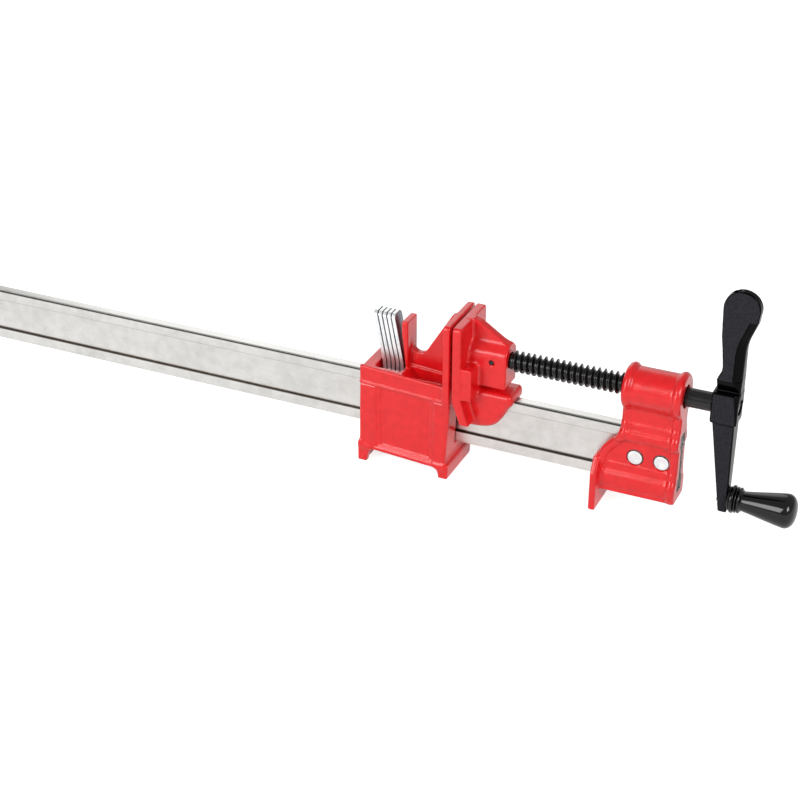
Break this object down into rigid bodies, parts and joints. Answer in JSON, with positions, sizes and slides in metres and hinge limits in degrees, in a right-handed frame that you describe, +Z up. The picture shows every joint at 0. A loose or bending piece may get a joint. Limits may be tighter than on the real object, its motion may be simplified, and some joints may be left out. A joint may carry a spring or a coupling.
{
  "type": "i-beam bar clamp",
  "caption": "Bar clamp on a steel I-section rail: crank and screw drive one jaw, the other slides along the rail and locks by tilting clutch plates",
  "frame": {"origin": "middle of the sole of the head casting's foot, on the bench that the clamp stands on", "axes": "+X along the rail to the crank end, +Z up from the bench, +Y away from the side that the picture shows"},
  "size_m": [0.9242, 0.056, 0.2124],
  "materials": {
    "red_paint": "gloss enamel over cast iron",
    "bright_steel": "bright drawn bar, lightly scuffed",
    "zinc_steel": "bright zinc plate",
    "spring_steel": "drawn spring wire",
    "black_steel": "oiled black oxide",
    "black_enamel": "gloss black enamel over cast iron",
    "black_plastic": "polished black plastic"
  },
  "bodies": {
    "bar": {"rail": "bright_steel", "rail_end_stop": "bright_steel", "head_casting": "red_paint", "head_rivet_left": "bright_steel", "head_rivet_right": "bright_steel"},
    "spindle_jaw": {"spindle_jaw": "red_paint", "jaw_pin_front": "black_steel", "jaw_pin_back": "black_steel"},
    "screw": {"spindle": "black_steel", "crank": "black_enamel", "crank_pin": "black_steel", "grip_axle": "black_steel", "grip_washer": "black_steel"},
    "grip": {"grip": "black_plastic"},
    "sliding_jaw": {"sliding_jaw": "red_paint", "clutch_spring": "spring_steel"},
    "plate_1": {"clutch_plate_1": "zinc_steel"},
    "plate_2": {"clutch_plate_2": "zinc_steel"},
    "plate_3": {"clutch_plate_3": "zinc_steel"},
    "plate_4": {"clutch_plate_4": "zinc_steel"},
    "plate_5": {"clutch_plate_5": "zinc_steel"}
  },
  "joints": [
    {"name": "spindle_jaw_slide", "type": "slide", "parent": "bar", "child": "spindle_jaw", "axis": [1, 0, 0], "range_m": [0, 0.07]},
    {"name": "screw_turn", "type": "hinge", "parent": "spindle_jaw", "child": "screw", "pos_m": [0, 0, 0.1125], "axis": [1, 0, 0], "range_deg": [0, 4950]},
    {"name": "grip_spin", "type": "hinge", "parent": "screw", "child": "grip", "pos_m": [0.1374, 0, 0.029], "axis": [1, 0, 0], "continuous": true},
    {"name": "sliding_jaw_slide", "type": "slide", "parent": "bar", "child": "sliding_jaw", "axis": [1, 0, 0], "range_m": [-0.534, 0]},
    {"name": "clutch_plate_1_tilt", "type": "hinge", "parent": "sliding_jaw", "child": "plate_1", "pos_m": [-0.17502, 0, 0.052], "axis": [0, 1, 0], "range_deg": [0, 3], "stiffness_Nm_per_rad": 1, "springref_deg": -5.73, "deforming": ["clutch_spring"]},
    {"name": "clutch_plate_2_tilt", "type": "hinge", "parent": "sliding_jaw", "child": "plate_2", "pos_m": [-0.17907, 0, 0.052], "axis": [0, 1, 0], "range_deg": [0, 3]},
    {"name": "clutch_plate_3_tilt", "type": "hinge", "parent": "sliding_jaw", "child": "plate_3", "pos_m": [-0.18312, 0, 0.052], "axis": [0, 1, 0], "range_deg": [0, 3]},
    {"name": "clutch_plate_4_tilt", "type": "hinge", "parent": "sliding_jaw", "child": "plate_4", "pos_m": [-0.18717, 0, 0.052], "axis": [0, 1, 0], "range_deg": [0, 3]},
    {"name": "clutch_plate_5_tilt", "type": "hinge", "parent": "sliding_jaw", "child": "plate_5", "pos_m": [-0.19122, 0, 0.052], "axis": [0, 1, 0], "range_deg": [0, 3]}
  ],
  "couplings": [
    {"joint": "spindle_jaw_slide", "follows": "screw_turn", "m_per_rad": 0.00080851},
    {"joint": "clutch_plate_2_tilt", "follows": "clutch_plate_1_tilt", "ratio": 1},
    {"joint": "clutch_plate_3_tilt", "follows": "clutch_plate_1_tilt", "ratio": 1},
    {"joint": "clutch_plate_4_tilt", "follows": "clutch_plate_1_tilt", "ratio": 1},
    {"joint": "clutch_plate_5_tilt", "follows": "clutch_plate_1_tilt", "ratio": 1}
  ]
}
